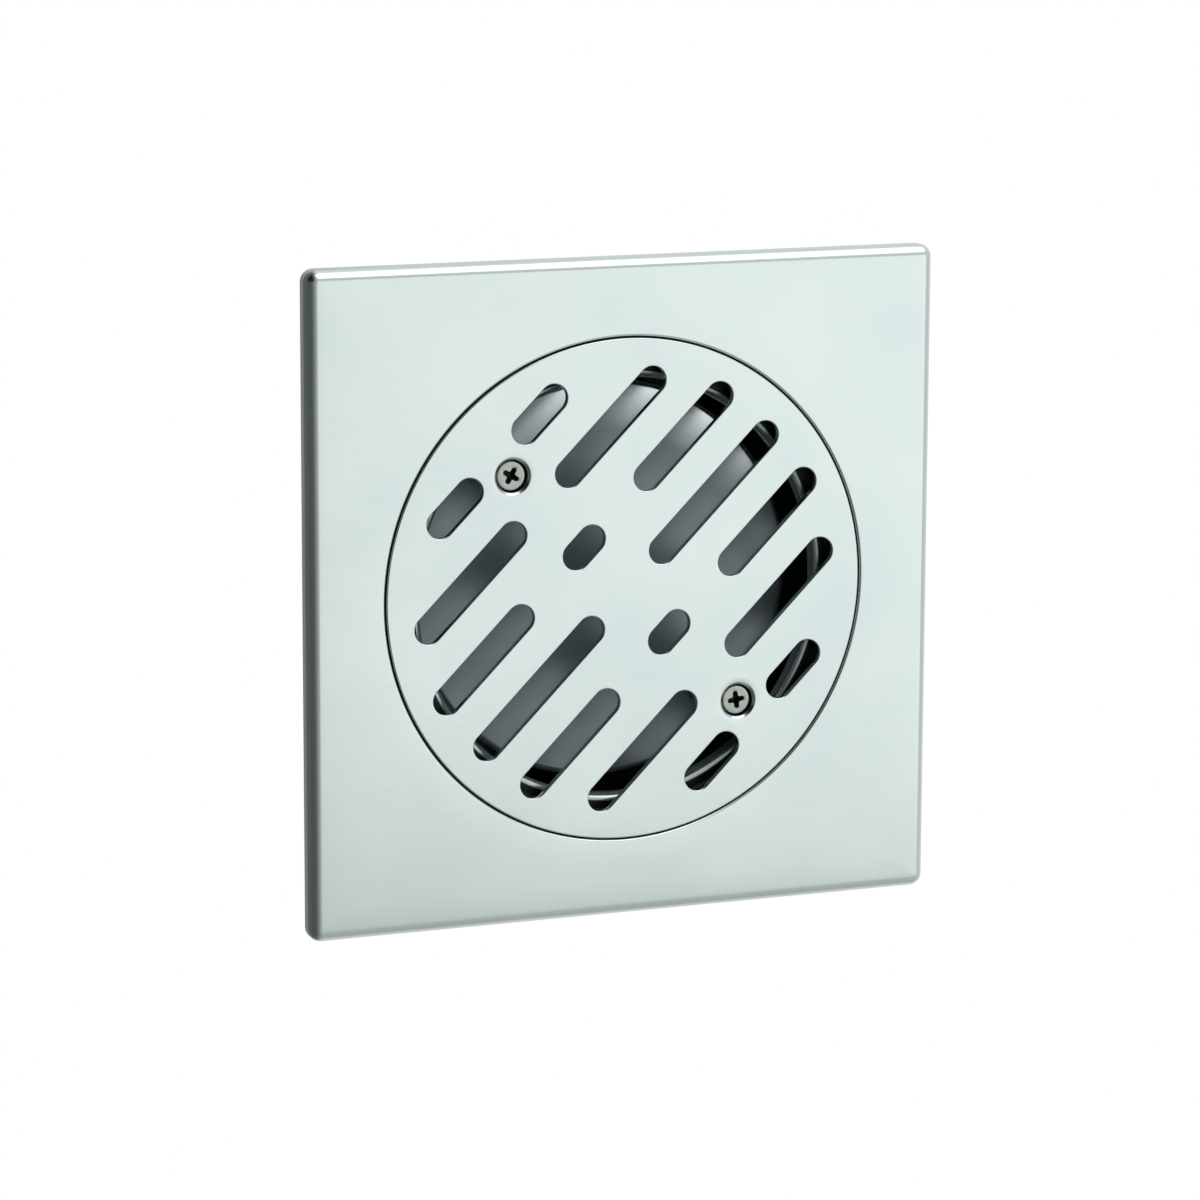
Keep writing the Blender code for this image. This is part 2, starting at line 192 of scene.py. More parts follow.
def thickened(path, sheet, edge=0.0, steps=4):
    """The outline of a sheet beside a path, on its left, or right where sheet is negative.

    With an edge radius, the far end of the sheet is rounded on both corners.
    """
    sides = []
    for first, second in zip(path, path[1:]):
        along = (second - first).normalized()
        sides.append(Vector((-along.y, along.x)))
    back = []
    for index, point in enumerate(path):
        before = sides[max(index - 1, 0)]
        after = sides[min(index, len(sides) - 1)]
        mitre = (before + after).normalized()
        back.append(point + mitre * sheet / mitre.dot(after))
    if not edge:
        return path + back[::-1]
    end = [tuple(path[-2]), (*path[-1], edge), (*back[-1], edge), tuple(back[-2])]
    return path[:-1] + rounded(end, steps)[1:-1] + back[-2::-1]


def circle(radius, z, steps, centre=(0.0, 0.0)):
    """A closed loop of points round a circle, half a step off the axes."""
    turns = [math.tau * (step + 0.5) / steps for step in range(steps)]
    return [Vector((centre[0] + radius * math.cos(turn),
                    centre[1] + radius * math.sin(turn), z)) for turn in turns]


def rounded_square(half, corner, z, steps):
    """A closed loop of points round a square with rounded corners."""
    points = []
    for quarter in range(4):
        turn = Matrix.Rotation(quarter * math.pi / 2, 3, 'Z')
        for step in range(steps + 1):
            bend = math.pi / 2 * step / steps
            arm = Vector((math.cos(bend), math.sin(bend), 0)) * corner
            points.append(turn @ (Vector((half - corner, half - corner, z)) + arm))
    return points


def add_loop(bm, points):
    """Adds a closed loop of vertices and edges."""
    verts = [bm.verts.new(point) for point in points]
    edges = [bm.edges.new((a, b)) for a, b in zip(verts, verts[1:] + verts[:1])]
    return verts, edges


def skin(bm, loops, closed=False):
    """Joins loops from add_loop, of equal count, with faces, in order."""
    for (lower, _), (upper, _) in zip(loops, loops[1:] + (loops[:1] if closed else [])):
        for index, vert in enumerate(lower):
            before = index - 1
            bm.faces.new((lower[before], vert, upper[index], upper[before]))


def finish_mesh(name, bm, material, sharp=40.0, open_mesh=False):
    """Turns a bmesh into a linked, smooth-shaded object."""
    bmesh.ops.remove_doubles(bm, verts=bm.verts, dist=WELD)
    if not open_mesh:
        bmesh.ops.recalc_face_normals(bm, faces=bm.faces)
    mesh = bpy.data.meshes.new(name)
    bm.to_mesh(mesh)
    bm.free()
    mesh.shade_smooth()
    mesh.set_sharp_from_angle(angle=math.radians(sharp))
    if material is not None:
        mesh.materials.append(material)
    piece = bpy.data.objects.new(name, mesh)
    bpy.context.scene.collection.objects.link(piece)
    return piece


def pressed(name, chains, material):
    """A flat sheet with shaped borders, each a chain of loops from upper to lower face."""
    bm = bmesh.new()
    upper, lower = [], []
    for chain in chains:
        loops = [add_loop(bm, points) for points in chain]
        skin(bm, loops)
        upper += loops[0][1]
        lower += loops[-1][1]
    for border in (upper, lower):
        bmesh.ops.triangle_fill(bm, use_beauty=True, edges=border)
    return finish_mesh(name, bm, material)


def turned(name, outline, steps, material, centre=(0.0, 0.0), sharp=40.0):
    """A ring turned from a closed (radius, z) outline."""
    bm = bmesh.new()
    loops = [add_loop(bm, circle(radius, z, steps, centre)) for radius, z in outline]
    skin(bm, loops, closed=True)
    return finish_mesh(name, bm, material, sharp)


def punched(edge_at, face_at, top, thick, edge, steps=4):
    """The rounded edge of a punched sheet, from upper to lower face."""
    corners = [(face_at, top), (edge_at, top, edge), (edge_at, top - thick, edge),
               (face_at, top - thick)]
    return rounded(corners, steps)[1:-1]


def eased_tube(radius, bore, top, bottom, edge, steps=3):
    """Outline of a tube with small rounds on its four edges."""
    corners = [(radius, (top + bottom) / 2), (radius, bottom, edge), (bore, bottom, edge),
               (bore, top, edge), (radius, top, edge), (radius, (top + bottom) / 2)]
    return rounded(corners, steps)[:-1]


def even_normals(piece):
    """Lets the flat faces set the normals of the small rounds beside them."""
    weighted = piece.modifiers.new("even normals", 'WEIGHTED_NORMAL')
    weighted.keep_sharp = True
    return settle(piece)


def settle(piece):
    """Replaces an object's mesh by its evaluated one and removes its modifiers."""
    view = bpy.context.evaluated_depsgraph_get()
    mesh = bpy.data.meshes.new_from_object(piece.evaluated_get(view))
    piece.modifiers.clear()
    piece.data = mesh
    return piece


def hold(piece, body, slot, *nodes):
    """Rides a finished piece on its body and hides the nodes it stands for; its slot is not used.
    """
    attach(piece, body)
    if nodes:
        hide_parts(*nodes)
    return piece


# ---------------------------------------------------------------- node trees

def add_node(tree, kind, inputs=None, **settings):
    """Adds a node with its settings, and a value, socket or node for each of its inputs."""
    made = tree.nodes.new(kind)
    for name, value in settings.items():
        setattr(made, name, value)
    for key, value in (inputs or {}).items():
        if isinstance(value, bpy.types.Node):
            value = value.outputs[0]
        if isinstance(value, bpy.types.NodeSocket):
            tree.links.new(value, made.inputs[key])
        else:
            made.inputs[key].default_value = value
    return made


def new_tree(name, sockets):
    """A Geometry Nodes tree with a geometry in and out and the named inputs."""
    tree = bpy.data.node_groups.new(name, 'GeometryNodeTree')
    tree.interface.new_socket("Geometry", in_out='INPUT', socket_type='NodeSocketGeometry')
    for label, kind in sockets:
        tree.interface.new_socket(label, in_out='INPUT', socket_type=kind)
    tree.interface.new_socket("Geometry", in_out='OUTPUT', socket_type='NodeSocketGeometry')
    return tree, add_node(tree, 'NodeGroupInput').outputs


def end_tree(tree, geometry, material):
    """Realizes the geometry, gives it its material and sends it out."""
    real = add_node(tree, 'GeometryNodeRealizeInstances', {"Geometry": geometry})
    coloured = add_node(tree, 'GeometryNodeSetMaterial',
                        {"Geometry": real, "Material": material})
    add_node(tree, 'NodeGroupOutput', {"Geometry": coloured})


def run_tree(piece, tree, values):
    """Puts a tree on a piece, with its inputs by name, and settles the result."""
    modifier = piece.modifiers.new(tree.name, 'NODES')
    modifier.node_group = tree
    for item in tree.interface.items_tree:
        if item.in_out == 'INPUT' and item.name in values:
            modifier[item.identifier] = values[item.name]
    settle(piece)
    bm = bmesh.new()
    bm.from_mesh(piece.data)
    bmesh.ops.recalc_face_normals(bm, faces=bm.faces)
    bm.to_mesh(piece.data)
    bm.free()
    return piece


def helper(name, bm, **marks):
    """A short-lived mesh object that a tree reads, with float marks on its points."""
    mesh = bpy.data.meshes.new(name)
    bm.to_mesh(mesh)
    bm.free()
    mesh.shade_smooth()
    for label, values in marks.items():
        mesh.attributes.new(label, 'FLOAT', 'POINT').data.foreach_set("value", values)
    piece = bpy.data.objects.new(name, mesh)
    bpy.context.scene.collection.objects.link(piece)
    return piece


def drop(*helpers):
    """Removes short-lived objects."""
    for piece in helpers:
        bpy.data.objects.remove(piece, do_unlink=True)


def rim_mesh(name, outline, steps):
    """An open ring of metal edge, turned from a (radius, z) outline, for a tree."""
    bm = bmesh.new()
    skin(bm, [add_loop(bm, circle(radius, z, steps)) for radius, z in outline])
    pull = [math.copysign(1.0, vert.co.x) for vert in bm.verts]
    return helper(name, bm, pull=pull)


def copies(tree, points, shape):
    """Copies of an object, one on every point."""
    info = add_node(tree, 'GeometryNodeObjectInfo', {"Object": shape})
    return add_node(tree, 'GeometryNodeInstanceOnPoints',
                    {"Points": points, "Instance": info.outputs["Geometry"]})


def pierced_sheet_tree():
    """A disc with a stretched rim at every slot point and a dimple at every dimple point."""
    tree, given = new_tree("pierced sheet", [
        ("Slot rim", 'NodeSocketObject'), ("Dimple", 'NodeSocketObject'),
        ("Outer rim", 'NodeSocketObject'), ("Sheet", 'NodeSocketFloat'),
        ("Slot angle", 'NodeSocketFloat'), ("Metal", 'NodeSocketMaterial')])
    dimple, pull, stretch = (
        add_node(tree, 'GeometryNodeInputNamedAttribute', {"Name": label}, data_type='FLOAT')
        for label in ("dimple", "pull", "stretch"))
    is_dimple = add_node(tree, 'FunctionNodeCompare', {0: dimple, 1: 0.5})
    sorts = add_node(tree, 'GeometryNodeSeparateGeometry',
                     {"Geometry": given["Geometry"], "Selection": is_dimple})
    dimples, slots = (
        add_node(tree, 'GeometryNodeRealizeInstances',
                 {"Geometry": copies(tree, points, given[label])})
        for label, points in (("Dimple", sorts.outputs[0]), ("Slot rim", sorts.outputs[1])))
    reach = add_node(tree, 'ShaderNodeMath', {0: pull, 1: stretch}, operation='MULTIPLY')
    shift = add_node(tree, 'ShaderNodeCombineXYZ', {"X": reach})
    slots = add_node(tree, 'GeometryNodeSetPosition', {"Geometry": slots, "Offset": shift})
    outer = add_node(tree, 'GeometryNodeObjectInfo', {"Object": given["Outer rim"]})
    walls = add_node(tree, 'GeometryNodeJoinGeometry')
    for part in (dimples.outputs[0], slots.outputs[0], outer.outputs["Geometry"]):
        tree.links.new(part, walls.inputs[0])

    # The bare edges of the walls bound the upper and lower faces, which are filled flat.
    neighbours = add_node(tree, 'GeometryNodeInputMeshEdgeNeighbors')
    bare = add_node(tree, 'FunctionNodeCompare', {2: neighbours, 3: 1},
                    data_type='INT', operation='EQUAL')
    place = add_node(tree, 'GeometryNodeInputPosition')
    height = add_node(tree, 'ShaderNodeSeparateXYZ', {0: place}).outputs["Z"]
    half, depth = (
        add_node(tree, 'ShaderNodeMath', {0: given["Sheet"], 1: share}, operation='MULTIPLY')
        for share in (-0.5, -1.0))
    is_upper = add_node(tree, 'FunctionNodeCompare', {0: height, 1: half})
    is_lower = add_node(tree, 'FunctionNodeBooleanMath', {0: is_upper}, operation='NOT')
    down = add_node(tree, 'ShaderNodeCombineXYZ', {"Z": depth})
    whole = add_node(tree, 'GeometryNodeJoinGeometry')
    tree.links.new(walls.outputs[0], whole.inputs[0])
    for side in (is_upper, is_lower):
        chosen = add_node(tree, 'FunctionNodeBooleanMath', {0: bare, 1: side}, operation='AND')
        border = add_node(tree, 'GeometryNodeMeshToCurve', {"Mesh": walls, "Selection": chosen})
        face = add_node(tree, 'GeometryNodeFillCurve', {"Curve": border})
        if side is is_lower:
            flipped = add_node(tree, 'GeometryNodeFlipFaces', {"Mesh": face})
            face = add_node(tree, 'GeometryNodeTransform',
                            {"Geometry": flipped, "Translation": down})
        tree.links.new(face.outputs[0], whole.inputs[0])
    welded = add_node(tree, 'GeometryNodeMergeByDistance',
                      {"Geometry": whole, "Distance": 10 * WELD})
    smooth = add_node(tree, 'GeometryNodeSetShadeSmooth', {"Geometry": welded})
    spin = add_node(tree, 'ShaderNodeCombineXYZ', {"Z": given["Slot angle"]})
    spun = add_node(tree, 'GeometryNodeTransform', {"Geometry": smooth, "Rotation": spin})
    end_tree(tree, spun, given["Metal"])
    return tree


def thread_tree():
    """A rolled thread: a four-sided ridge swept up a helix."""
    tree, given = new_tree("rolled thread", [
        ("Turns", 'NodeSocketFloat'), ("Middle radius", 'NodeSocketFloat'),
        ("Ridge", 'NodeSocketFloat'), ("Height", 'NodeSocketFloat'),
        ("Metal", 'NodeSocketMaterial')])
    helix = add_node(tree, 'GeometryNodeCurveSpiral',
                     {"Resolution": 28, "Rotations": given["Turns"],
                      "Start Radius": given["Middle radius"],
                      "End Radius": given["Middle radius"], "Height": given["Height"]})
    section = add_node(tree, 'GeometryNodeCurvePrimitiveCircle',
                       {"Resolution": 4, "Radius": given["Ridge"]})
    ridge = add_node(tree, 'GeometryNodeCurveToMesh',
                     {"Curve": helix, "Profile Curve": section, "Fill Caps": True})
    placed = add_node(tree, 'GeometryNodeInstanceOnPoints',
                      {"Points": given["Geometry"], "Instance": ridge})
    end_tree(tree, placed, given["Metal"])
    return tree


def nugget_tree():
    """Resistance spot welds: one shallow ringed dimple at every point."""
    tree, given = new_tree("spot welds", [
        ("Nugget", 'NodeSocketObject'), ("Metal", 'NodeSocketMaterial')])
    end_tree(tree, copies(tree, given["Geometry"], given["Nugget"]), given["Metal"])
    return tree


# ---------------------------------------------------------------- materials

def from_hex(text):
    """sRGB hex to a linear RGBA colour."""
    shares = [int(text[place:place + 2], 16) / 255 for place in (0, 2, 4)]
    linear = [share / 12.92 if share <= 0.04045 else ((share + 0.055) / 1.055) ** 2.4
              for share in shares]
    return (*linear, 1.0)


# Nearly all of a noise's grey values lie between these.
NOISE_LOW, NOISE_HIGH = 0.3, 0.7


def surface(colour, roughness, metallic=1.0):
    """Turns a function that details a shader into one that gives its material.

    The material takes the function's name and is made once. The colour is one of DrainFinish.
    """
    def wrap(detail):
        def material_for(finish):
            material = bpy.data.materials.get(detail.__name__)
            if material is None:
                material = bpy.data.materials.new(detail.__name__)
                material.use_nodes = True
                tree = material.node_tree
                shader = tree.nodes["Principled BSDF"].inputs
                shader["Base Color"].default_value = from_hex(getattr(finish, colour))
                shader["Roughness"].default_value = roughness
                shader["Metallic"].default_value = metallic
                place = add_node(tree, 'ShaderNodeTexCoord').outputs["Object"]
                detail(tree, shader, place, finish)
            return material
        return material_for
    return wrap


def streaks(tree, place, scale, rough=0.5):
    """A noise with so many cells a metre along each axis."""
    stretched = add_node(tree, 'ShaderNodeMapping', {"Vector": place, "Scale": scale})
    return add_node(tree, 'ShaderNodeTexNoise', {"Vector": stretched, "Scale": 1.0,
                                                 "Detail": 3.0, "Roughness": rough})


def from_axis(tree, place):
    """Distance from the drain's upright axis."""
    flat = add_node(tree, 'ShaderNodeVectorMath', {0: place, 1: (1.0, 1.0, 0.0)},
                    operation='MULTIPLY')
    reach = add_node(tree, 'ShaderNodeVectorMath', {0: flat}, operation='LENGTH')
    return reach.outputs["Value"]


def coloured(tree, shader, share, first, second):
    """Sets the base colour between two hex colours."""
    made = add_node(tree, 'ShaderNodeMix', {0: share, 6: from_hex(first), 7: from_hex(second)},
                    data_type='RGBA')
    tree.links.new(made.outputs[2], shader["Base Color"])


def patched(tree, shader, cloud, first, second):
    """Sets the base colour to two hex colours in the patches of a noise."""
    share = add_node(tree, 'ShaderNodeMapRange', {"Value": cloud, "From Min": NOISE_LOW,
                                                  "From Max": NOISE_HIGH})
    coloured(tree, shader, share, first, second)


def roughened(tree, shader, *ranges):
    """Sets the roughness to the sum of (noise, lowest, highest) ranges."""
    total = 0.0
    for cloud, lowest, highest in ranges:
        share = add_node(tree, 'ShaderNodeMapRange', {"Value": cloud, "From Min": NOISE_LOW,
                                                      "From Max": NOISE_HIGH,
                                                      "To Min": lowest, "To Max": highest})
        total = add_node(tree, 'ShaderNodeMath', {0: total, 1: share}, operation='ADD')
    tree.links.new(total.outputs[0], shader["Roughness"])


def bumped(tree, shader, height, depth, strength):
    """Adds a bump of a real depth."""
    bump = add_node(tree, 'ShaderNodeBump', {"Height": height, "Distance": depth,
                                             "Strength": strength})
    tree.links.new(bump.outputs[0], shader["Normal"])


@surface("satin", 0.3)
def satin_stainless(tree, shader, place, finish):
    """Grade 304 sheet, belt ground: a pale even sheen with a faint straight grain."""
    # Belt grit leaves lines about 0.05 mm apart; they are drawn at 0.25 mm to show at all.
    grain = streaks(tree, place, (60.0, 4000.0, 4000.0), 0.6)
    cloud = add_node(tree, 'ShaderNodeTexNoise', {"Vector": place, "Scale": 28.0})
    roughened(tree, shader, (grain, 0.17, 0.21), (cloud, -0.01, 0.02))
    patched(tree, shader, cloud, finish.satin, "D8E1E1")
    bumped(tree, shader, grain, 0.0015 * MM, 0.35)


@surface("drawn", 0.4)
def drawn_stainless(tree, shader, place, finish):
    """Deep drawn 304, unpolished: a greyer, softer mirror with draw lines down the walls."""
    # Draw lines run down the wall, about one a degree, and fade within a few millimetres.
    parts = add_node(tree, 'ShaderNodeSeparateXYZ', {0: place}).outputs
    turn = add_node(tree, 'ShaderNodeMath', {0: parts["Y"], 1: parts["X"]}, operation='ARCTAN2')
    around = add_node(tree, 'ShaderNodeCombineXYZ', {"X": turn, "Z": parts["Z"]})
    lines = streaks(tree, around, (60.0, 1.0, 120.0))
    cloud = add_node(tree, 'ShaderNodeTexNoise', {"Vector": place, "Scale": 60.0, "Detail": 3.0})
    roughened(tree, shader, (lines, 0.34, 0.42), (cloud, -0.03, 0.05))
    patched(tree, shader, cloud, finish.drawn, "949EA3")
    bumped(tree, shader, lines, 0.01 * MM, 0.4)


@surface("bell", 0.5)
def bell_stainless(tree, shader, place, finish):
    """Drawn bell: dull blue-grey, with a painted highlight, lighter and smoother, along its far
    rim.
    """
    # Clouds of drawing oil residue about 10 mm across over a fine matt grain.
    cloud = add_node(tree, 'ShaderNodeTexNoise', {"Vector": place, "Scale": 90.0, "Detail": 3.0})
    grain = add_node(tree, 'ShaderNodeTexNoise', {"Vector": place, "Scale": 4000.0})
    # The painted highlight runs along the far rim and fades out 10 mm in from it.
    forward = add_node(tree, 'ShaderNodeSeparateXYZ', {0: place}).outputs["Y"]
    rim = add_node(tree, 'ShaderNodeMapRange', {"Value": from_axis(tree, place),
                                                "From Min": 34 * MM, "From Max": 44 * MM})
    far = add_node(tree, 'ShaderNodeMapRange', {"Value": forward,
                                                "From Min": 12 * MM, "From Max": 30 * MM})
    painted_highlight = add_node(tree, 'ShaderNodeMath', {0: rim, 1: far}, operation='MULTIPLY')
    dull = add_node(tree, 'ShaderNodeMapRange', {"Value": cloud, "From Min": NOISE_LOW,
                                                 "From Max": NOISE_HIGH,
                                                 "To Min": 0.46, "To Max": 0.54})
    rough = add_node(tree, 'ShaderNodeMix', {0: painted_highlight, 2: dull, 3: 0.22})
    tree.links.new(rough.outputs[0], shader["Roughness"])
    # The base colour is lightened there as a painted highlight.
    coloured(tree, shader, painted_highlight, finish.bell, "DCE3E4")
    bumped(tree, shader, grain, 0.01 * MM, 0.4)


@surface("drawn", 0.3)
def seat_stainless(tree, shader, place, finish):
    """Seat ring: its rolled mouth is light and smooth, and the ledge behind it is painted dark as
    shade under the grate.
    """
    # The painted shade starts 1.1 mm behind the mouth and is full 0.5 mm further out.
    scale = add_node(tree, 'ShaderNodeMapRange', {"Value": from_axis(tree, place),
                                                  "From Min": 48.8 * MM, "From Max": 49.3 * MM})
    roughened(tree, shader, (scale, 0.27, 0.5))
    # The ledge's near-black colour is painted shade.
    coloured(tree, shader, scale, "C4CBCB", "2C3032")


@surface("fastener", 0.32)
def fastener_stainless(tree, shader, place, finish):
    """Cold-headed A2 stainless: warmer and duller than sheet, with fine tool marks."""
    # Die marks a few tenths of a millimetre across.
    marks = add_node(tree, 'ShaderNodeTexNoise', {"Vector": place, "Scale": 2600.0,
                                                  "Detail": 3.0, "Roughness": 0.6})
    roughened(tree, shader, (marks, 0.26, 0.42))
    patched(tree, shader, marks, finish.fastener, "B4B8B0")
    bumped(tree, shader, marks, 0.02 * MM, 0.5)


@surface("recess", 0.7, 0.0)
def driver_recess(tree, shader, place, finish):
    """Inside of the cross recess: painted shade makes it all but black."""
    # The painted shade is mottled in patches a third of a millimetre across.
    shade_mottle = add_node(tree, 'ShaderNodeTexNoise', {"Vector": place, "Scale": 3000.0})
    roughened(tree, shader, (shade_mottle, 0.6, 0.8))
    patched(tree, shader, shade_mottle, finish.recess, "1A1A17")
    bumped(tree, shader, shade_mottle, 0.03 * MM, 0.5)


@surface("weld", 0.45)
def weld_metal(tree, shader, place, finish):
    """Pickled weld bead: grey, coarse, with a straw heat tint in patches."""
    # Ripples under a millimetre apart, and tint in patches of several millimetres.
    ripples = add_node(tree, 'ShaderNodeTexNoise', {"Vector": place, "Scale": 1400.0})
    tint = add_node(tree, 'ShaderNodeTexNoise', {"Vector": place, "Scale": 160.0, "Detail": 3.0})
    roughened(tree, shader, (ripples, 0.35, 0.6))
    patched(tree, shader, tint, finish.weld, finish.tint)
    bumped(tree, shader, ripples, 0.05 * MM, 0.6)


@surface("rubber", 0.62, 0.0)
def moulded_rubber(tree, shader, place, finish):
    """Moulded EPDM: near black, matt, with a very fine spark-eroded grain."""
    # Eroded moulds have a grain of about 0.2 mm.
    grain = add_node(tree, 'ShaderNodeTexNoise', {"Vector": place, "Scale": 5000.0})
    bloom = add_node(tree, 'ShaderNodeTexNoise', {"Vector": place, "Scale": 90.0, "Detail": 3.0})
    roughened(tree, shader, (bloom, 0.55, 0.75))
    patched(tree, shader, bloom, finish.rubber, "26272A")
    bumped(tree, shader, grain, 0.02 * MM, 0.5)


# ---------------------------------------------------------------- pieces

def plate_half():
    """Half the side of the cover plate."""
    return high("cover_plate").x


def hole_radius(sheet):
    """Radius of the plate's opening, inside the lip."""
    return half_width("grate") + sheet.joint


def sunk(distance, sheet):
    """How far the face lies below its plane, this far from a fold or lip."""
    share = max(0.0, 1.0 - distance / sheet.ease)
    return -sheet.sink * share ** 2


def sunk_bend(outline, bend, sheet):
    """A bend's (reach, z) outline, sunk with the face it leaves."""
    return [(reach, z - sheet.sink * max(0.0, 1 + z / bend)) for reach, z in outline]


class DRAIN_OT_cover_plate(bpy.types.Operator):
    """Pressed cover plate with a folded skirt and a lip turned down at the opening"""
    bl_idname = "drain.cover_plate"
    bl_label = "Cover plate"

    def execute(self, context):
        sheet = context.scene.drain_sheet
        metal = satin_stainless(context.scene.drain_finish)
        thick = sheet.sheet
        half, skirt = plate_half(), low("cover_plate").z
        eases = [sheet.ease * (1 - step / 6) for step in range(6)]
        face = [(sheet.fold + ease, sunk(ease, sheet)) for ease in eases]
        bend = rounded([(2 * sheet.fold, 0), (0, 0, sheet.fold), (0, skirt)], 14)
        chain = face + sunk_bend(thickened(bend, thick, CUT_EDGE)[1:-1], sheet.fold, sheet)
        chain += [(inset, z - thick) for inset, z in reversed(face)]
        tightest = 0.4 * MM
        outside = [rounded_square(half - inset, max(sheet.corner - inset, tightest), z, 12)
                   for inset, z in chain]

        hole = hole_radius(sheet)
        under, inner = hole + thick, 0.1 * MM
        lip = rounded([(hole + 2 * sheet.lip, 0), (hole, 0, sheet.lip),
                       (hole, low_lip(sheet), inner), (under, low_lip(sheet), inner),
                       (under, -thick, inner), (under + thick, -thick)], 10)[1:-1]
        chain = [(hole + sheet.lip + ease, sunk(ease, sheet)) for ease in eases]
        chain += sunk_bend(lip, sheet.lip, sheet)
        chain.append((under + 2 * inner + sheet.ease, -thick))
        opening = [circle(radius, z, 288) for radius, z in chain]
        piece = even_normals(pressed("cover_plate_sheet", [outside, opening], metal))
        hold(piece, FIXED, "satin_plate", "cover_plate")
        return {'FINISHED'}


def low_lip(sheet):
    """Where the turned-down lip ends."""
    return -sheet.sheet - 0.4 * MM


def slot_marks(sheet):
    """(along, across, stretch, dimple) of every slot and screw dimple on the grate."""
    radius = half_width("grate")
    pitch = (radius - sheet.outer_row) / sheet.rows
    # How far inside the rim the slots end, and where they start, from the centre row out.
    insets = (9.7 * MM, 8.65 * MM, 9.4 * MM, 9.3 * MM)
    first = (sheet.centre_bridge + sheet.slot_width / 2, sheet.side_start,
             sheet.screw_start, sheet.screw_start)
    marks = []
    for row in range(-sheet.rows, sheet.rows + 1):
        across = row * pitch
        end = math.sqrt((radius - insets[abs(row)]) ** 2 - across ** 2)
        start = first[abs(row)]
        for side in (-1, 1):
            marks.append((side * (start + end) / 2, across, (end - start) / 2, 0.0))
        if abs(row) == 1:
            marks.append((0.0, across, sheet.short_slot, 0.0))
    offset = middle("grate_screw_1").length
    marks += [(0.0, side * offset, 0.0, 1.0) for side in (-1, 1)]
    return marks


def dimple_outline(sheet):
    """Face of a pressed screw dimple and its underside, from mouth to mouth."""
    head, bore, land = half_width("grate_screw_1"), SCREW_HOLE, 1.0 * MM
    top, floor = high("grate_screw_1").z, low("grate").z
    wall = head + 0.34 * MM
    seat = top - 0.75 * MM
    brim = wall + 0.55 * MM
    outer = brim + land
    face = rounded([(outer + land, 0), (outer, 0, 1.2 * MM),
                    (brim, -sheet.dimple_draw, 0.35 * MM),
                    (wall, -sheet.dimple_draw - (brim - wall) * math.tan(sheet.dimple_slope),
                     0.12 * MM),
                    (wall, seat, 0.08 * MM), (bore, seat - (wall - bore), 0.2 * MM),
                    (bore, floor, 0.1 * MM), (bore + land, floor, 0.3 * MM),
                    (outer, -sheet.grate_sheet, land), (outer + land, -sheet.grate_sheet)], 6)
    return face[1:-1]


class DRAIN_OT_grate(bpy.types.Operator):
    """Flush round grate: punched slots on the diagonal and two pressed screw dimples"""
    bl_idname = "drain.grate"
    bl_label = "Grate"

    def execute(self, context):
        sheet = context.scene.drain_sheet
        metal = satin_stainless(context.scene.drain_finish)
        radius, half_slot = half_width("grate"), sheet.slot_width / 2
        thick, edge = sheet.grate_sheet, sheet.edge
        slot_edge = punched(half_slot, half_slot + 2 * edge, 0, thick, edge)
        outer_edge = punched(radius, radius - 2 * edge, 0, thick, edge)
        helpers = [rim_mesh("slot_rim", slot_edge[::-1], 48),
                   rim_mesh("dimple_rim", dimple_outline(sheet)[::-1], 96),
                   rim_mesh("outer_rim", outer_edge, 288)]
        marks = slot_marks(sheet)
        bm = bmesh.new()
        for along, across, stretch, dimple in marks:
            bm.verts.new((along, across, 0.0))
        piece = helper("grate_disc", bm, stretch=[mark[2] for mark in marks],
                       dimple=[mark[3] for mark in marks])
        run_tree(piece, pierced_sheet_tree(), {
            "Slot rim": helpers[0], "Dimple": helpers[1], "Outer rim": helpers[2],
            "Sheet": thick, "Slot angle": sheet.slot_angle, "Metal": metal})
        drop(*helpers)
        even_normals(piece)
        hold(piece, LIFTED, "satin_plate", "grate")
        return {'FINISHED'}


def cross_radius(turn, reach, width, fillet):
    """Distance from the centre to the edge of a cross with round tips and inner corners."""
    turn = abs((turn + math.pi / 4) % (math.pi / 2) - math.pi / 4)
    arm = reach - width
    if turn == 0 or turn < math.atan2(width, arm):
        return arm * math.cos(turn) + math.sqrt(width ** 2 - (arm * math.sin(turn)) ** 2)
    corner = width + fillet
    lean = math.cos(turn) + math.sin(turn)
    inside = (corner * lean) ** 2 - 2 * corner ** 2 + fillet ** 2
    if inside > 0:
        hit = corner * lean - math.sqrt(inside)
        if hit * math.cos(turn) < corner:
            return hit
    return width / math.sin(turn)


def recess_loop(steps, turn, centre, reach, width, fillet, z):
    """One cross section of a driver recess."""
    points = []
    for step in range(steps):
        spin = math.tau * (step + 0.5) / steps
        radius = cross_radius(spin - turn, reach, width, fillet)
        points.append(centre + Vector((radius * math.cos(spin), radius * math.sin(spin), z)))
    return points


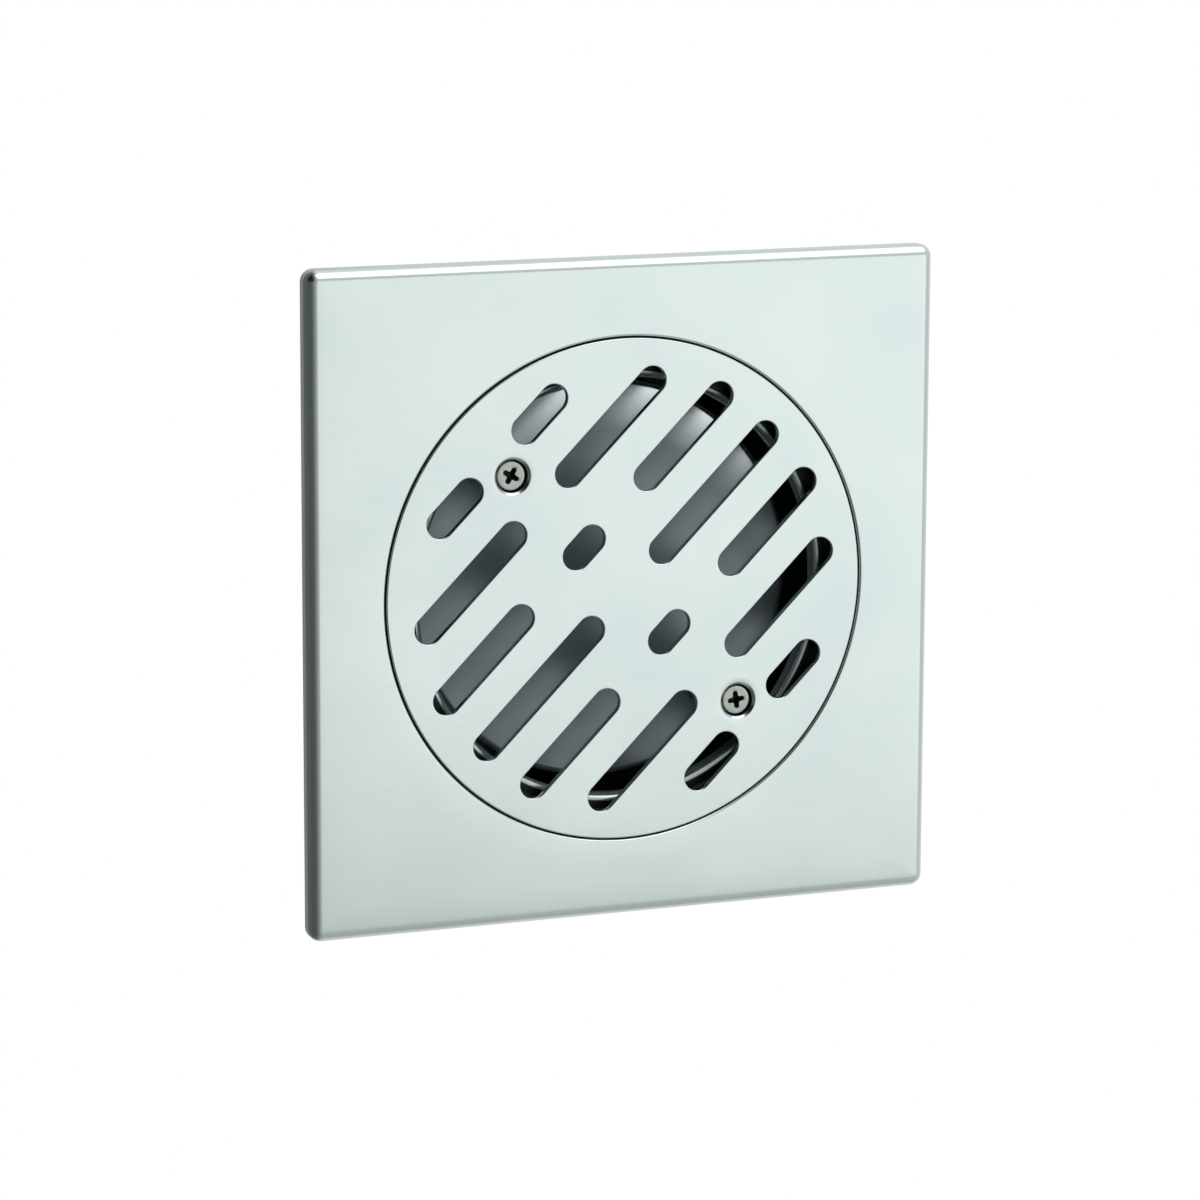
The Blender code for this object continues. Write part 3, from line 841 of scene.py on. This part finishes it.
class DRAIN_OT_screws(bpy.types.Operator):
    """Two countersunk cross-recess screws with rolled threads"""
    bl_idname = "drain.screws"
    bl_label = "Grate screws"

    def execute(self, context):
        metal = fastener_stainless(context.scene.drain_finish)
        recess = driver_recess(context.scene.drain_finish)
        thread = thread_tree()
        for index, turn in ((1, 60.0), (2, 8.0)):
            self.make(index, f"grate_screw_{index}", math.radians(turn), metal, recess, thread)
        return {'FINISHED'}

    def make(self, index, node, turn, metal, recess, thread):
        """One screw, its recess turned by an angle, and its thread."""
        centre, body = middle(node), f"screw_{index}"
        head, top, bottom = half_width(node) - 0.15 * MM, high(node).z, low(node).z
        shank, core, pitch, edge = 2.0 * MM, 1.62 * MM, 0.7 * MM, 0.1 * MM
        rim = top - 0.2 * MM
        cone = rim - head + shank
        plain, rolled = cone - 3 * MM, cone - 3.4 * MM
        profile = rounded([(head - 0.6 * MM, top), (head, top, 0.15 * MM),
                           (head, rim, edge / 2), (shank, cone, edge), (shank, plain, edge),
                           (core, rolled, edge), (core, bottom, 3 * edge),
                           (core / 3, bottom)], 3)
        # Reach, half width, inner fillet and height of the recess's sections, in millimetres.
        sections = [(0.95, 0.50, 0.40, -2.0), (1.55, 0.54, 0.40, -1.0), (1.98, 0.56, 0.45, -0.16),
                    (2.02, 0.58, 0.45, -0.05), (2.12, 0.64, 0.45, 0.0)]
        bm, steps = bmesh.new(), 192
        loops = [add_loop(bm, recess_loop(steps, turn, centre, reach * MM, width * MM,
                                          fillet * MM, top + z * MM))
                 for reach, width, fillet, z in sections]
        loops += [add_loop(bm, circle(radius, z, steps, centre)) for radius, z in profile]
        skin(bm, loops)
        for verts, edges in (loops[0], loops[-1]):
            bmesh.ops.triangle_fill(bm, edges=edges)
        # Faces inside the recess take the near-black recess material, which is painted shade.
        mouth, floor, clean = 2.13 * MM, top - 2.1 * MM, top - 0.03 * MM
        for face in bm.faces:
            if floor < face.calc_center_median().z < clean and all(
                    (vert.co - centre).xy.length < mouth for vert in face.verts):
                face.material_index = 1
        piece = finish_mesh(f"{body}_blank", bm, metal, 30.0)
        piece.data.materials.append(recess)
        even_normals(piece)
        hold(piece, body, "fastener", node)

        height = rolled - bottom - pitch
        bm = bmesh.new()
        bm.verts.new((centre.x, centre.y, bottom + pitch / 2))
        ridge = helper(f"{body}_thread", bm)
        run_tree(ridge, thread, {"Turns": height / pitch, "Middle radius": core,
                                 "Ridge": 0.36 * MM, "Height": height, "Metal": metal})
        hold(ridge, body, "fastener")


class DRAIN_OT_bell(bpy.types.Operator):
    """Bell of the trap: an inverted cup with a rounded edge and two screw holes"""
    bl_idname = "drain.bell"
    bl_label = "Trap bell"

    def execute(self, context):
        metal = bell_stainless(context.scene.drain_finish)
        radius, top, foot = half_width("trap_bell"), high("trap_bell").z, low("trap_bell").z
        wall, edge = DRAWN_SHEET, 1.5 * MM
        side = thickened(rounded([(radius - 2 * edge, top), (radius, top, edge),
                                  (radius, foot)], 12), -wall, 0.3 * MM)[1:-1]
        hole = punched(SCREW_HOLE, SCREW_HOLE + 0.7 * MM, top, wall, 0.15 * MM, 2)
        chains = [[circle(ring, z, 224) for ring, z in side]]
        for index in (1, 2):
            centre = middle(f"grate_screw_{index}")
            chains.append([circle(ring, z, 48, centre) for ring, z in hole])
        piece = even_normals(pressed("trap_bell_cup", chains, metal))
        hold(piece, LIFTED, "drawn_steel", "trap_bell")
        return {'FINISHED'}


class DRAIN_OT_bell_fasteners(bpy.types.Operator):
    """Spacers, washers and chamfered nuts that hold the bell under the grate"""
    bl_idname = "drain.bell_fasteners"
    bl_label = "Bell fasteners"

    def execute(self, context):
        finish = context.scene.drain_finish
        drawn, plain = drawn_stainless(finish), fastener_stainless(finish)
        for index in (1, 2):
            for node, metal, slot, edge in ((f"spacer_{index}", drawn, "drawn_steel", 0.4),
                                            (f"bell_washer_{index}", plain, "fastener", 0.15)):
                outline = eased_tube(half_width(node), SCREW_HOLE, high(node).z, low(node).z,
                                     edge * MM)
                piece = turned(f"{node}_sleeve", outline, 64, metal, middle(node))
                hold(piece, LIFTED, slot, node)
            node = f"bell_nut_{index}"
            hold(self.nut(node, SCREW_HOLE, plain), LIFTED, "fastener", node)
        return {'FINISHED'}

    def nut(self, node, bore, metal):
        """Hexagon nut, chamfered at both ends."""
        corner, centre = half_width(node), middle(node)
        face = corner * 0.86
        steps, top, bottom = 72, high(node).z, low(node).z
        flat = corner * math.cos(math.pi / 6)
        rings = {"hex": [], "face": [], "bore": []}
        for step in range(steps):
            turn = math.tau * step / steps
            within = (turn + math.pi / 6) % (math.pi / 3) - math.pi / 6
            out = Vector((math.cos(turn), math.sin(turn), 0.0))
            from_corner = math.pi / 6 - abs(within)
            rings["hex"].append((out, flat / math.cos(from_corner)))
            rings["face"].append((out, face))
            rings["bore"].append((out, bore))

        def loop(ring, z, sign=0.0):
            slope = math.tan(math.radians(30))
            return [centre + out * radius + Vector((0, 0, z - sign * (radius - face) * slope))
                    for out, radius in rings[ring]]

        bm = bmesh.new()
        order = [("bore", top, 0), ("face", top, 0), ("hex", top, 1), ("hex", bottom, -1),
                 ("face", bottom, 0), ("bore", bottom, 0)]
        skin(bm, [add_loop(bm, loop(*item)) for item in order], closed=True)
        return finish_mesh(f"{node}_hex", bm, metal, 25.0)


class DRAIN_OT_seat(bpy.types.Operator):
    """Stepped ring that carries the grate, with a thin black rubber band under the joint as
    painted shade
    """
    bl_idname = "drain.seat"
    bl_label = "Seat ring"

    def execute(self, context):
        finish = context.scene.drain_finish
        flange, seat = half_width("seat_ring"), high("seat_ring").z
        rest, ledge, lip = half_width("grate") - 4.5 * MM, seat - 2.5 * MM, low("seat_ring").z
        mouth = half_width("trap_bell") + 1.7 * MM
        top = rounded([(flange, seat), (rest, seat, 1.2 * MM), (rest - 1.0 * MM, ledge, 1.2 * MM),
                       (mouth, ledge, 1.5 * MM), (mouth, lip)], 12)
        ring = turned("seat_ring_sheet", thickened(top, DRAWN_SHEET, CUT_EDGE), 256,
                      seat_stainless(finish))
        even_normals(ring)
        hold(ring, FIXED, "drawn_steel", "seat_ring")

        # A thin black rubber band under the grate's rim, put there as painted shade to blacken the
        # open joint.
        shade_band = eased_tube(half_width("grate") + 1.6 * MM, rest + 0.9 * MM, seat + 0.22 * MM,
                          seat + 0.01 * MM, 0.08 * MM)
        piece = turned("seat_tape", shade_band, 192, moulded_rubber(finish))
        hold(piece, FIXED, "seal_rubber")
        return {'FINISHED'}


class DRAIN_OT_bowl(bpy.types.Operator):
    """Deep drawn bowl with its flange and neck, and its spot welds"""
    bl_idname = "drain.bowl"
    bl_label = "Trap bowl"

    def execute(self, context):
        finish = context.scene.drain_finish
        metal = drawn_stainless(finish)
        flange, rim = half_width("trap_bowl"), high("trap_bowl").z
        wall, neck = half_width("grate") - 3.0 * MM, half_width("outlet_pipe") + 0.3 * MM
        floor, end = low("trap_bell").z - 8.0 * MM, low("trap_bowl").z
        inside = rounded([(flange, rim), (wall, rim, 1.5 * MM), (wall, floor, 8.0 * MM),
                          (neck, floor, 2.0 * MM), (neck, end)], 12)
        piece = turned("trap_bowl_shell", thickened(inside, DRAWN_SHEET, CUT_EDGE), 256, metal)
        even_normals(piece)
        hold(piece, FIXED, "drawn_steel", "trap_bowl")

        nugget = self.nugget()
        bm = bmesh.new()
        under = rim - DRAWN_SHEET
        for point in circle((flange + wall) / 2 + 0.7 * MM, under, 12):
            bm.verts.new(point)
        welds = helper("flange_spot_welds", bm)
        run_tree(welds, nugget_tree(), {"Nugget": nugget, "Metal": weld_metal(finish)})
        drop(nugget)
        hold(welds, FIXED, "drawn_steel")
        return {'FINISHED'}

    def nugget(self):
        """A shallow ring left by a welding electrode, hanging just under the sheet."""
        bm = bmesh.new()
        outline = [(0.0002, -0.06), (1.6, -0.05), (2.0, -0.16), (2.4, -0.16), (2.9, 0.02)]
        loops = [add_loop(bm, circle(radius * MM, z * MM, 24)) for radius, z in outline]
        skin(bm, loops)
        bmesh.ops.triangle_fill(bm, edges=loops[-1][1])
        bmesh.ops.remove_doubles(bm, verts=bm.verts, dist=1e-5)
        bmesh.ops.recalc_face_normals(bm, faces=bm.faces)
        return helper("nugget", bm)


class DRAIN_OT_outlet(bpy.types.Operator):
    """Standpipe and spigot in one tube, welded into the bowl's neck"""
    bl_idname = "drain.outlet"
    bl_label = "Outlet pipe"

    def execute(self, context):
        finish = context.scene.drain_finish
        metal = drawn_stainless(finish)
        radius = half_width("outlet_pipe")
        outline = eased_tube(radius, radius - 1.2 * MM, high("outlet_pipe").z,
                             low("outlet_pipe").z, 0.4 * MM)
        piece = even_normals(turned("outlet_tube", outline, 192, metal))
        hold(piece, FIXED, "drawn_steel", "outlet_pipe")

        bead_radius, bead_z = radius + 0.7 * MM, low("trap_bowl").z - 0.1 * MM
        ripples, around, across = 96, 480, 10
        bm = bmesh.new()
        loops = []
        for part in range(across):
            side = math.tau * part / across
            loop = []
            for step in range(around):
                turn = math.tau * step / around
                size = (0.95 + 0.10 * abs(math.sin(ripples * turn / 2 + side / 4))) * MM
                ring = bead_radius + size * math.cos(side)
                loop.append(Vector((ring * math.cos(turn), ring * math.sin(turn),
                                    bead_z + size * 0.75 * math.sin(side))))
            loops.append(add_loop(bm, loop))
        skin(bm, loops, closed=True)
        bead = finish_mesh("neck_weld_bead", bm, weld_metal(finish), 60.0)
        hold(bead, FIXED, "drawn_steel")
        return {'FINISHED'}


class DRAIN_OT_seal(bpy.types.Operator):
    """Rubber ring on the spigot, with three sealing fins"""
    bl_idname = "drain.seal"
    bl_label = "Pipe seal ring"

    def execute(self, context):
        rubber = moulded_rubber(context.scene.drain_finish)
        bore = half_width("outlet_pipe") + 0.3 * MM
        tip = half_width("pipe_seal_ring")
        bottom, top = low("pipe_seal_ring").z, high("pipe_seal_ring").z
        body, fins, edge = bore + 2.2 * MM, 3, 0.3 * MM
        pitch = (top - bottom) / fins
        corners = [(bore, (top + bottom) / 2), (bore, bottom, edge), (body, bottom, edge)]
        for fin in range(fins):
            base = bottom + fin * pitch
            corners += [(body, base + pitch / 4, edge), (tip, base + pitch / 2, edge / 2),
                        (body, base + pitch * 3 / 4, edge)]
        corners += [(body, top, edge), (bore, top, edge), (bore, (top + bottom) / 2)]
        outline = rounded(corners, 4)[:-1]
        piece = turned("pipe_seal_moulding", outline, 144, rubber)
        hold(piece, FIXED, "seal_rubber", "pipe_seal_ring")
        return {'FINISHED'}


class DRAIN_OT_lugs(bpy.types.Operator):
    """Four bent anchor straps under the corners of the plate"""
    bl_idname = "drain.lugs"
    bl_label = "Anchor lugs"

    def execute(self, context):
        metal = drawn_stainless(context.scene.drain_finish)
        sheet, width, tab, foot, bend = 1.5 * MM, 12 * MM, 14 * MM, 10 * MM, 2.2 * MM
        top, bottom = high("anchor_lug_1").z, low("anchor_lug_1").z
        reach = math.sqrt(2) * high("anchor_lug_1").x - width / 2 - tab / 2
        path = rounded([(tab / 2, top), (-tab / 2, top, bend + sheet),
                        (-tab / 2, bottom, bend), (foot - tab / 2, bottom)], 8)
        outline = thickened(path, sheet)
        for index in range(1, 5):
            node = f"anchor_lug_{index}"
            bm = bmesh.new()
            loops = [add_loop(bm, [Vector((x, side * width / 2, z)) for x, z in outline])
                     for side in (-1, 1)]
            skin(bm, loops)
            for verts, edges in loops:
                bmesh.ops.triangle_fill(bm, edges=edges)
            turn = Matrix.Rotation(math.pi / 4 + (index - 1) * math.pi / 2, 4, 'Z')
            bm.transform(turn @ Matrix.Translation((reach, 0, 0)))
            piece = finish_mesh(f"{node}_strap", bm, metal, 30.0)
            rounds = piece.modifiers.new("rounds", 'BEVEL')
            rounds.width = 0.25 * MM
            rounds.segments = 2
            rounds.limit_method = 'ANGLE'
            rounds.angle_limit = math.radians(50)
            even_normals(piece)
            hold(piece, FIXED, "drawn_steel", node)
        return {'FINISHED'}


# ---------------------------------------------------------------- stage

def look_at(piece, place, target, roll=0.0):
    """Stands an object at a place, its -Z axis towards a target and its top towards +Y."""
    back = (Vector(place) - Vector(target)).normalized()
    right = Vector((0, 1, 0)).cross(back).normalized()
    turn = Matrix((right, back.cross(right), back)).transposed()
    piece.matrix_world = (Matrix.Translation(place) @ turn.to_4x4()
                          @ Matrix.Rotation(roll, 4, 'Z'))


def soft_light(name, place, target, width, height, radiance):
    """A soft box: an area light of a given radiance, unseen by the camera."""
    light = bpy.data.lights.new(name, 'AREA')
    light.shape = 'RECTANGLE'
    light.size = width
    light.size_y = height
    light.energy = radiance * math.pi * width * height
    piece = bpy.data.objects.new(name, light)
    bpy.context.scene.collection.objects.link(piece)
    look_at(piece, place, target)
    piece.visible_camera = False
    return piece


def shown(tree, light, plain):
    """A plain shader to the camera, and a light one to every other ray."""
    path = add_node(tree, 'ShaderNodeLightPath')
    return add_node(tree, 'ShaderNodeMixShader', {0: path.outputs["Is Camera Ray"],
                                                  1: light, 2: plain})


def studio_world():
    """Studio walls: dark on the left, pale on the right, plain white to the camera."""
    world = bpy.data.worlds.new("studio")
    bpy.context.scene.world = world
    world.use_nodes = True
    tree = world.node_tree
    tree.nodes.clear()
    place = add_node(tree, 'ShaderNodeTexCoord').outputs["Generated"]
    parts = add_node(tree, 'ShaderNodeSeparateXYZ', {0: place}).outputs
    # A dark flag hangs at the upper left and blackens that corner of the fold.
    across, below, flag_side, flag_top = (
        add_node(tree, 'ShaderNodeMapRange', {"Value": parts[axis],
                                              "From Min": start, "From Max": stop,
                                              "To Min": first, "To Max": last},
                 interpolation_type='SMOOTHSTEP')
        for axis, start, stop, first, last in (
            ("X", -0.75, 0.6, 0.11, 0.72), ("Y", -0.9, 0.15, 0.75, 1.0),
            ("X", -0.5, -0.05, 1.0, 0.0), ("Y", 0.06, 0.36, 0.0, -0.9)))
    flag = add_node(tree, 'ShaderNodeMath', {0: flag_side, 1: flag_top, 2: 1.0},
                    operation='MULTIPLY_ADD')
    bare = add_node(tree, 'ShaderNodeMath', {0: across, 1: below}, operation='MULTIPLY')
    strength = add_node(tree, 'ShaderNodeMath', {0: bare, 1: flag}, operation='MULTIPLY')
    walls = add_node(tree, 'ShaderNodeBackground', {"Color": (0.95, 1.0, 0.98, 1.0),
                                                    "Strength": strength})
    plain = add_node(tree, 'ShaderNodeBackground', {"Color": (1.0, 1.0, 1.0, 1.0),
                                                    "Strength": 1.0})
    add_node(tree, 'ShaderNodeOutputWorld', {"Surface": shown(tree, walls, plain)})


@surface("floor", 0.7, 0.0)
def studio_floor(tree, shader, place, finish):
    """Pale floor, lit so evenly that the camera sees it plain white."""
    # It is darker and throws back less light on the left of the drain.
    right = {"Value": add_node(tree, 'ShaderNodeSeparateXYZ', {0: place}).outputs["X"],
             "From Min": -0.13, "From Max": -0.02}
    spill = add_node(tree, 'ShaderNodeMapRange', {**right, "To Min": 0.02, "To Max": 0.75})
    tree.links.new(spill.outputs[0], shader["Emission Strength"])
    share = add_node(tree, 'ShaderNodeMapRange', right)
    coloured(tree, shader, share, "7E8280", finish.floor)
    shader["Emission Color"].default_value = from_hex(finish.floor)
    white = add_node(tree, 'ShaderNodeEmission', {"Strength": 1.0})
    both = shown(tree, tree.nodes["Principled BSDF"], white)
    tree.links.new(both.outputs[0], tree.nodes["Material Output"].inputs["Surface"])


class DRAIN_OT_stage(bpy.types.Operator):
    """Pale floor, soft boxes and the camera"""
    bl_idname = "drain.stage"
    bl_label = "Stage"

    def execute(self, context):
        stage = context.scene.drain_stage
        context.scene.view_settings.view_transform = 'Standard'

        reach = stage.floor_size / 2
        bm = bmesh.new()
        corners = [bm.verts.new((x * reach, y * reach, CAD_BOUNDS[0][2]))
                   for x, y in ((-1, -1), (1, -1), (1, 1), (-1, 1))]
        bm.faces.new(corners)
        finish_mesh("studio_floor", bm, studio_floor(context.scene.drain_finish),
                             open_mesh=True)

        centre = (0.0, 0.0, 0.0)
        soft_light("overhead_box", (0.78, -0.12, 1.25), centre, 1.15, 0.66, 0.46)
        soft_light("top_box", (0.50, 1.15, 0.60), centre, 1.25, 1.15, 1.15)
        studio_world()

        camera = bpy.data.cameras.new("camera")
        camera.lens = stage.lens
        camera.sensor_width = 36.0
        piece = bpy.data.objects.new("camera", camera)
        context.scene.collection.objects.link(piece)
        look_at(piece, stage.camera, stage.aim, stage.roll)
        context.scene.camera = piece
        return {'FINISHED'}


# ---------------------------------------------------------------- panel and registration

OPERATORS = (DRAIN_OT_cover_plate, DRAIN_OT_grate, DRAIN_OT_screws, DRAIN_OT_bell,
             DRAIN_OT_bell_fasteners, DRAIN_OT_seat, DRAIN_OT_bowl, DRAIN_OT_outlet, DRAIN_OT_seal,
             DRAIN_OT_lugs, DRAIN_OT_stage)
GROUPS = {"drain_sheet": DrainSheet, "drain_finish": DrainFinish, "drain_stage": DrainStage}


class DRAIN_PT_panel(bpy.types.Panel):
    """Lists the drain's pieces and settings"""
    bl_idname = "DRAIN_PT_panel"
    bl_label = "Floor drain"
    bl_space_type = 'VIEW_3D'
    bl_region_type = 'UI'
    bl_category = "Floor drain"

    def draw(self, context):
        for operator in OPERATORS:
            self.layout.operator(operator.bl_idname)
        for name, group in GROUPS.items():
            box = self.layout.box()
            box.label(text=group.__doc__)
            for key in group.__annotations__:
                box.prop(getattr(context.scene, name), key)


def register():
    for group in GROUPS.values():
        bpy.utils.register_class(group)
    for name, group in GROUPS.items():
        setattr(bpy.types.Scene, name, PointerProperty(type=group))
    for operator in OPERATORS:
        bpy.utils.register_class(operator)
    bpy.utils.register_class(DRAIN_PT_panel)


def unregister():
    bpy.utils.unregister_class(DRAIN_PT_panel)
    for operator in reversed(OPERATORS):
        bpy.utils.unregister_class(operator)
    for name, group in GROUPS.items():
        delattr(bpy.types.Scene, name)
        bpy.utils.unregister_class(group)


def main():
    register()
    for operator in OPERATORS:
        getattr(bpy.ops.drain, operator.bl_idname.split(".")[1])()


if __name__ == "__main__":
    main()
